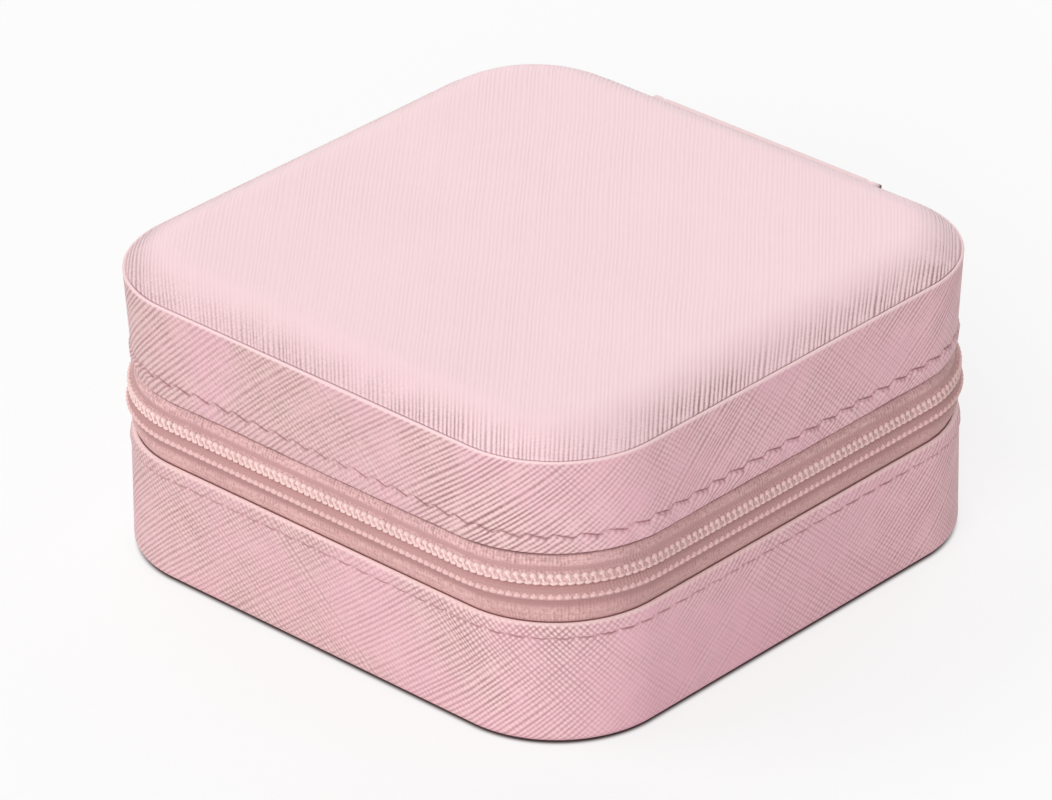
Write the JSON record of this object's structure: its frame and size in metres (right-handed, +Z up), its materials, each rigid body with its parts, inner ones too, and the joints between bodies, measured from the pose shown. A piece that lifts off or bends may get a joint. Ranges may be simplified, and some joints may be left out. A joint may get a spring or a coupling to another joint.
{
  "type": "zip-round jewellery case",
  "caption": "Small square jewellery case in cross-grained leather: padded lid on a leather hinge, zip round three sides, ring rolls, trays and a mirror inside.",
  "frame": {"origin": "under the middle of the bottom panel, on the surface the case stands on", "axes": "+Z up, -Y the front, +Y the hinge side, +X the right side as seen from the front"},
  "size_m": [0.1049, 0.1016, 0.051],
  "materials": {
    "leather_pink": "satin, cross-grained",
    "leather_pale": "satin",
    "board": "raw grey board",
    "velvet": "short velvet pile",
    "foam": "foam",
    "zip_tape": "woven",
    "zip_coil": "satin",
    "slider_metal": "polished pale gold",
    "mirror": "polished"
  },
  "bodies": {
    "base": {"base_band_leather": "leather_pink", "base_bottom_leather": "leather_pink", "base_floor_board": "board", "base_wall_board": "board", "base_inner_frame": "board", "base_wall_lining": "velvet", "base_floor_lining": "velvet", "ring_roll_1": "velvet", "ring_roll_2": "velvet", "ring_roll_3": "velvet", "ring_roll_4": "velvet", "long_divider": "velvet", "short_divider_left": "velvet", "short_divider_right": "velvet", "zip_tape_lower": "zip_tape", "zip_coil_lower": "zip_coil", "zip_stop_lower": "slider_metal", "hinge_leather": "leather_pink", "hinge_gusset": "zip_tape"},
    "lid": {"lid_band_leather": "leather_pink", "lid_top_leather": "leather_pink", "lid_foam_pad": "foam", "lid_top_board": "board", "lid_wall_board": "board", "lid_inner_frame": "board", "lid_wall_lining": "velvet", "lid_ceiling_lining": "velvet", "mirror_glass": "mirror", "mirror_frame": "leather_pale", "zip_tape_upper": "zip_tape", "zip_coil_upper": "zip_coil", "zip_stop_upper": "slider_metal"},
    "zip_slider": {"zip_slider": "slider_metal"},
    "zip_pull": {"pull_tab": "slider_metal"}
  },
  "joints": [
    {"name": "lid_hinge", "type": "hinge", "parent": "base", "child": "lid", "pos_m": [0, 0.05045, 0.0265], "axis": [-1, 0, 0], "range_deg": [0, 110], "deforming": ["hinge_leather", "hinge_gusset"]},
    {"name": "zip_slide", "type": "slide", "parent": "base", "child": "zip_slider", "axis": [0, -1, 0], "range_m": [0, 0.045], "deforming": ["zip_tape_lower", "zip_tape_upper", "zip_coil_lower", "zip_coil_upper"]},
    {"name": "zip_pull_flip", "type": "hinge", "parent": "zip_slider", "child": "zip_pull", "pos_m": [-0.05265, 0.022, 0.0265], "axis": [0, 0, -1], "range_deg": [0, 180]}
  ]
}
